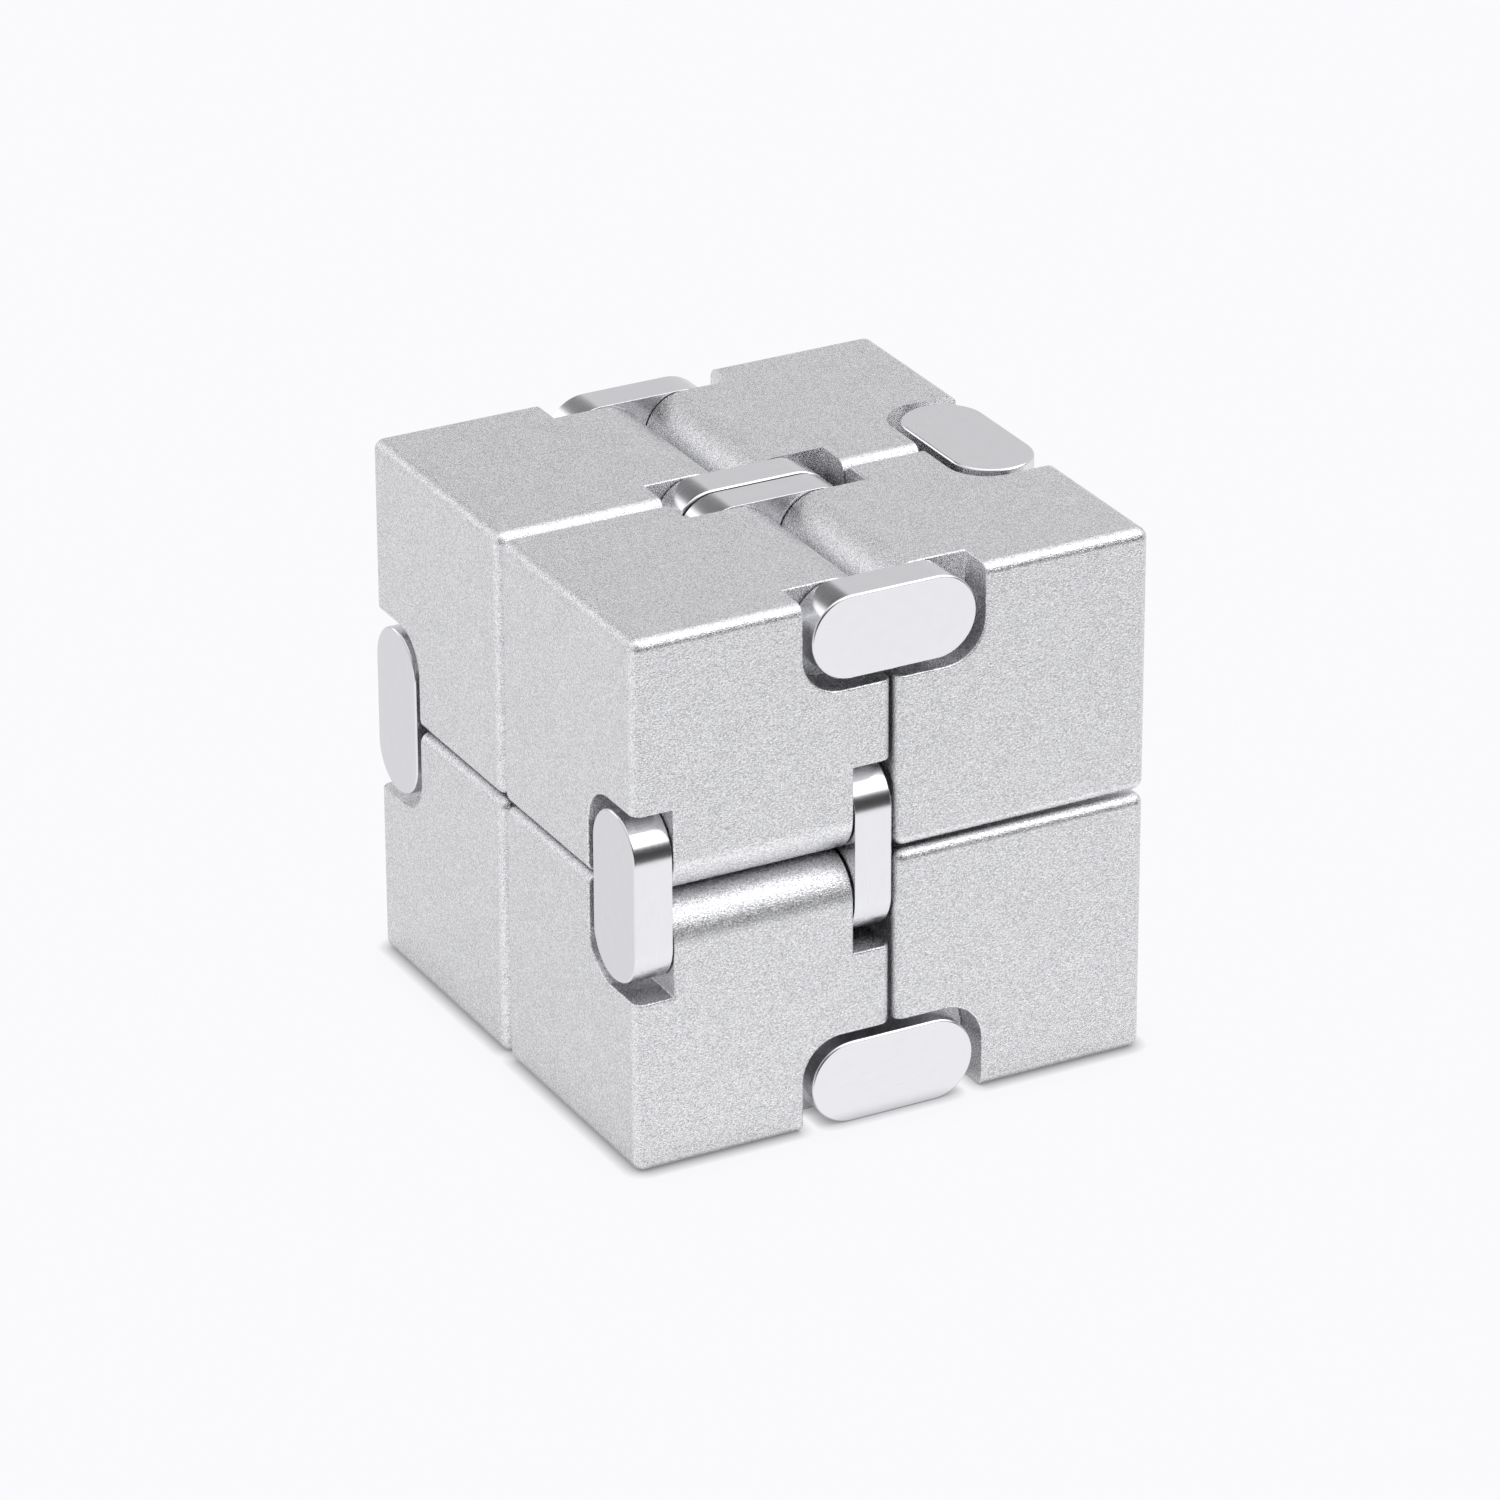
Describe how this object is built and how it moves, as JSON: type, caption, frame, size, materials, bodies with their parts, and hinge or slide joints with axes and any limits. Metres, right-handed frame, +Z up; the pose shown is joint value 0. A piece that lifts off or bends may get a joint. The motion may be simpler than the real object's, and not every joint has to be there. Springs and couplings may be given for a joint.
{
  "type": "folding fidget cube",
  "caption": "Folding aluminium fidget cube: small machined cubes in a block, joined in a closed chain by double-pivot link hinges.",
  "frame": {"origin": "centre of the block's underside, on the surface that it stands on", "axes": "+Z up; -Y out of the front face, the one with an upright hinge at its left edge; +X out of the right face"},
  "size_m": [0.04, 0.04, 0.04],
  "materials": {
    "cube_aluminium": "bead-blasted and clear anodised, satin",
    "link_aluminium": "bare machined, bright",
    "pin_steel": "ground"
  },
  "bodies": {
    "front_top_left": {"front_top_left_cube": "cube_aluminium"},
    "front_top_right": {"front_top_right_cube": "cube_aluminium"},
    "back_top_right": {"back_top_right_cube": "cube_aluminium"},
    "back_top_left": {"back_top_left_cube": "cube_aluminium"},
    "back_bottom_left": {"back_bottom_left_cube": "cube_aluminium"},
    "back_bottom_right": {"back_bottom_right_cube": "cube_aluminium"},
    "front_bottom_right": {"front_bottom_right_cube": "cube_aluminium"},
    "front_bottom_left": {"front_bottom_left_cube": "cube_aluminium"},
    "top_front_hinge": {"top_front_hinge_outer_link": "link_aluminium", "top_front_hinge_inner_link": "link_aluminium", "top_front_hinge_left_pin": "pin_steel", "top_front_hinge_right_pin": "pin_steel"},
    "top_back_hinge": {"top_back_hinge_outer_link": "link_aluminium", "top_back_hinge_inner_link": "link_aluminium", "top_back_hinge_right_pin": "pin_steel", "top_back_hinge_left_pin": "pin_steel"},
    "bottom_front_hinge": {"bottom_front_hinge_outer_link": "link_aluminium", "bottom_front_hinge_inner_link": "link_aluminium", "bottom_front_hinge_right_pin": "pin_steel", "bottom_front_hinge_left_pin": "pin_steel"},
    "bottom_back_hinge": {"bottom_back_hinge_outer_link": "link_aluminium", "bottom_back_hinge_inner_link": "link_aluminium", "bottom_back_hinge_left_pin": "pin_steel", "bottom_back_hinge_right_pin": "pin_steel"},
    "right_top_hinge": {"right_top_hinge_outer_link": "link_aluminium", "right_top_hinge_inner_link": "link_aluminium", "right_top_hinge_back_pin": "pin_steel", "right_top_hinge_front_pin": "pin_steel"},
    "right_bottom_hinge": {"right_bottom_hinge_outer_link": "link_aluminium", "right_bottom_hinge_inner_link": "link_aluminium", "right_bottom_hinge_front_pin": "pin_steel", "right_bottom_hinge_back_pin": "pin_steel"},
    "front_left_hinge": {"front_left_hinge_outer_link": "link_aluminium", "front_left_hinge_inner_link": "link_aluminium", "front_left_hinge_upper_pin": "pin_steel", "front_left_hinge_lower_pin": "pin_steel"},
    "back_left_hinge": {"back_left_hinge_outer_link": "link_aluminium", "back_left_hinge_inner_link": "link_aluminium", "back_left_hinge_lower_pin": "pin_steel", "back_left_hinge_upper_pin": "pin_steel"}
  },
  "joints": [
    {"name": "back_fold", "type": "hinge", "parent": "back_bottom_left", "child": "back_left_hinge", "pos_m": [-0.01008, 0.0169, 0.01675], "axis": [-1, 0, 0], "range_deg": [0, 90]},
    {"name": "back_left_upper_pivot", "type": "hinge", "parent": "back_left_hinge", "child": "back_top_left", "pos_m": [-0.01008, 0.0169, 0.02325], "axis": [-1, 0, 0], "range_deg": [0, 90]},
    {"name": "top_fold", "type": "hinge", "parent": "back_top_left", "child": "top_back_hinge", "pos_m": [-0.00325, 0.01008, 0.0369], "axis": [0, -1, 0], "range_deg": [0, 90]},
    {"name": "top_back_right_pivot", "type": "hinge", "parent": "top_back_hinge", "child": "back_top_right", "pos_m": [0.00325, 0.01008, 0.0369], "axis": [0, -1, 0], "range_deg": [0, 90]},
    {"name": "right_fold", "type": "hinge", "parent": "back_top_right", "child": "right_top_hinge", "pos_m": [0.0169, 0.00325, 0.03008], "axis": [0, 0, 1], "range_deg": [0, 90]},
    {"name": "right_top_front_pivot", "type": "hinge", "parent": "right_top_hinge", "child": "front_top_right", "pos_m": [0.0169, -0.00325, 0.03008], "axis": [0, 0, 1], "range_deg": [0, 90]},
    {"name": "top_front_right_pivot", "type": "hinge", "parent": "front_top_right", "child": "top_front_hinge", "pos_m": [0.00325, -0.01008, 0.0369], "axis": [0, 1, 0], "range_deg": [0, 90]},
    {"name": "top_front_left_pivot", "type": "hinge", "parent": "top_front_hinge", "child": "front_top_left", "pos_m": [-0.00325, -0.01008, 0.0369], "axis": [0, 1, 0], "range_deg": [0, 90]},
    {"name": "front_left_upper_pivot", "type": "hinge", "parent": "front_top_left", "child": "front_left_hinge", "pos_m": [-0.01008, -0.0169, 0.02325], "axis": [-1, 0, 0], "range_deg": [0, 90]},
    {"name": "bottom_fold", "type": "hinge", "parent": "back_bottom_left", "child": "bottom_back_hinge", "pos_m": [-0.00325, 0.01008, 0.0031], "axis": [0, 1, 0], "range_deg": [0, 90]},
    {"name": "bottom_back_right_pivot", "type": "hinge", "parent": "bottom_back_hinge", "child": "back_bottom_right", "pos_m": [0.00325, 0.01008, 0.0031], "axis": [0, 1, 0], "range_deg": [0, 90]},
    {"name": "right_bottom_back_pivot", "type": "hinge", "parent": "back_bottom_right", "child": "right_bottom_hinge", "pos_m": [0.0169, 0.00325, 0.00992], "axis": [0, 0, 1], "range_deg": [0, 90]},
    {"name": "right_bottom_front_pivot", "type": "hinge", "parent": "right_bottom_hinge", "child": "front_bottom_right", "pos_m": [0.0169, -0.00325, 0.00992], "axis": [0, 0, 1], "range_deg": [0, 90]},
    {"name": "bottom_front_right_pivot", "type": "hinge", "parent": "front_bottom_right", "child": "bottom_front_hinge", "pos_m": [0.00325, -0.01008, 0.0031], "axis": [0, -1, 0], "range_deg": [0, 90]},
    {"name": "bottom_front_left_pivot", "type": "hinge", "parent": "bottom_front_hinge", "child": "front_bottom_left", "pos_m": [-0.00325, -0.01008, 0.0031], "axis": [0, -1, 0], "range_deg": [0, 90]}
  ],
  "couplings": [
    {"joint": "back_left_upper_pivot", "follows": "back_fold", "ratio": 1},
    {"joint": "top_back_right_pivot", "follows": "top_fold", "ratio": 1},
    {"joint": "right_top_front_pivot", "follows": "right_fold", "ratio": 1},
    {"joint": "top_front_right_pivot", "follows": "top_fold", "ratio": 1},
    {"joint": "top_front_left_pivot", "follows": "top_fold", "ratio": 1},
    {"joint": "front_left_upper_pivot", "follows": "back_fold", "ratio": 1},
    {"joint": "bottom_back_right_pivot", "follows": "bottom_fold", "ratio": 1},
    {"joint": "right_bottom_back_pivot", "follows": "right_fold", "ratio": 1},
    {"joint": "right_bottom_front_pivot", "follows": "right_fold", "ratio": 1},
    {"joint": "bottom_front_right_pivot", "follows": "bottom_fold", "ratio": 1},
    {"joint": "bottom_front_left_pivot", "follows": "bottom_fold", "ratio": 1}
  ]
}
